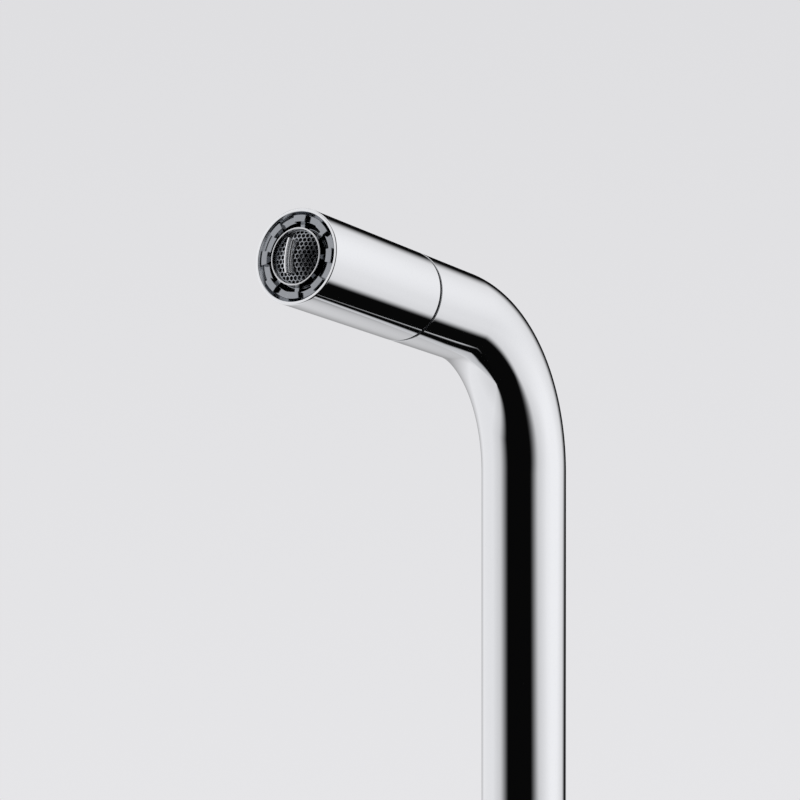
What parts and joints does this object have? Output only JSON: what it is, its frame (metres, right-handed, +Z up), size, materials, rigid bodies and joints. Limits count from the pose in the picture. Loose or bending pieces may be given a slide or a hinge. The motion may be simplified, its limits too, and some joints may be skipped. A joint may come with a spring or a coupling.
{
  "type": "kitchen mixer",
  "caption": "Kitchen mixer with a side lever and an L-shaped round tube spout whose straight spray head pulls out on a hose.",
  "frame": {"origin": "on the spout's swivel axis, in the plane of the base ring's underside, which is the worktop's surface", "axes": "+Z up along the body and the swivel axis; the spray head points to -Y and rises 9 degrees; the lever's hub is on the +X side"},
  "size_m": [0.094, 0.2168, 0.4658],
  "materials": {
    "polished_chrome": "polished",
    "brass": "machined",
    "stainless_steel": "satin",
    "dark_plastic": "satin",
    "grey_plastic": "satin",
    "white_plastic": "satin",
    "black_rubber": "matte",
    "ceramic": "ground",
    "magnet": "matte",
    "hose_sheath": "braided"
  },
  "bodies": {
    "mixer_body": {"base_ring": "polished_chrome", "base_gasket": "black_rubber", "body_casting": "polished_chrome", "spout_spigot": "brass", "shank": "brass", "rubber_washer": "black_rubber", "steel_washer": "stainless_steel", "shank_nut": "brass", "swivel_washer": "white_plastic", "lower_slide_ring": "white_plastic", "upper_slide_ring": "white_plastic", "spout_circlip": "stainless_steel", "stop_pin": "stainless_steel", "hose_guide": "dark_plastic", "cartridge_housing": "white_plastic", "cartridge_seals": "black_rubber", "fixed_disc": "ceramic", "cartridge_nut": "brass", "lever_dome": "polished_chrome"},
    "temperature_carrier": {"cartridge_rotor": "white_plastic", "stem_pin": "stainless_steel"},
    "lever": {"cartridge_stem": "stainless_steel", "lever_handle": "polished_chrome", "set_screw": "stainless_steel", "index_plug": "dark_plastic"},
    "disc_pack": {"moving_disc": "ceramic", "disc_carrier": "white_plastic"},
    "spout": {"spout_tube": "polished_chrome", "spout_bush": "white_plastic", "dock_guide": "dark_plastic", "dock_magnet": "magnet", "spray_hose": "hose_sheath", "hose_tail_nipple": "brass"},
    "hose_end": {"hose_ferrule": "polished_chrome", "swivel_nipple": "brass"},
    "spray_head": {"coupling_nut": "brass", "coupling_washer": "black_rubber", "head_core": "grey_plastic", "keeper_ring": "stainless_steel", "head_shell": "polished_chrome", "inlet_filter": "stainless_steel", "check_valve_body": "white_plastic", "check_spring": "stainless_steel", "aerator_housing": "polished_chrome", "aerator_seal": "black_rubber", "aerator_core": "dark_plastic", "aerator_screen": "stainless_steel", "outlet_ring": "grey_plastic"},
    "valve_poppet": {"check_poppet": "white_plastic"},
    "jet_selector": {"selector_grid": "dark_plastic", "selector_blade": "grey_plastic"}
  },
  "joints": [
    {"name": "spout_swivel", "type": "hinge", "parent": "mixer_body", "child": "spout", "pos_m": [0, 0, 0.09], "axis": [0, 0, 1], "range_deg": [-75, 75]},
    {"name": "head_pull", "type": "slide", "parent": "spout", "child": "hose_end", "axis": [0, -0.9877, 0.1564], "range_m": [0, 0.5], "deforming": ["spray_hose"]},
    {"name": "head_turn", "type": "hinge", "parent": "hose_end", "child": "spray_head", "pos_m": [0, -0.10665, 0.34967], "axis": [0, -0.9877, 0.1564], "continuous": true},
    {"name": "check_valve", "type": "slide", "parent": "spray_head", "child": "valve_poppet", "axis": [0, -0.9877, 0.1564], "range_m": [0, 0.002], "stiffness_N_per_m": 50, "springref_m": -0.004, "deforming": ["check_spring"]},
    {"name": "jet_turn", "type": "hinge", "parent": "spray_head", "child": "jet_selector", "pos_m": [0, -0.10665, 0.34967], "axis": [0, -0.9877, 0.1564], "range_deg": [0, 90]},
    {"name": "lever_temperature", "type": "hinge", "parent": "mixer_body", "child": "temperature_carrier", "pos_m": [0.036, 0, 0.04], "axis": [1, 0, 0], "range_deg": [-45, 45]},
    {"name": "lever_flow", "type": "hinge", "parent": "temperature_carrier", "child": "lever", "pos_m": [0.036, 0, 0.04], "axis": [0, 1, 0], "range_deg": [0, 25]},
    {"name": "disc_slide", "type": "slide", "parent": "temperature_carrier", "child": "disc_pack", "axis": [0, 0, 1], "range_m": [0, 0.0035]}
  ],
  "couplings": [
    {"joint": "disc_slide", "follows": "lever_flow", "m_per_rad": 0.008}
  ]
}
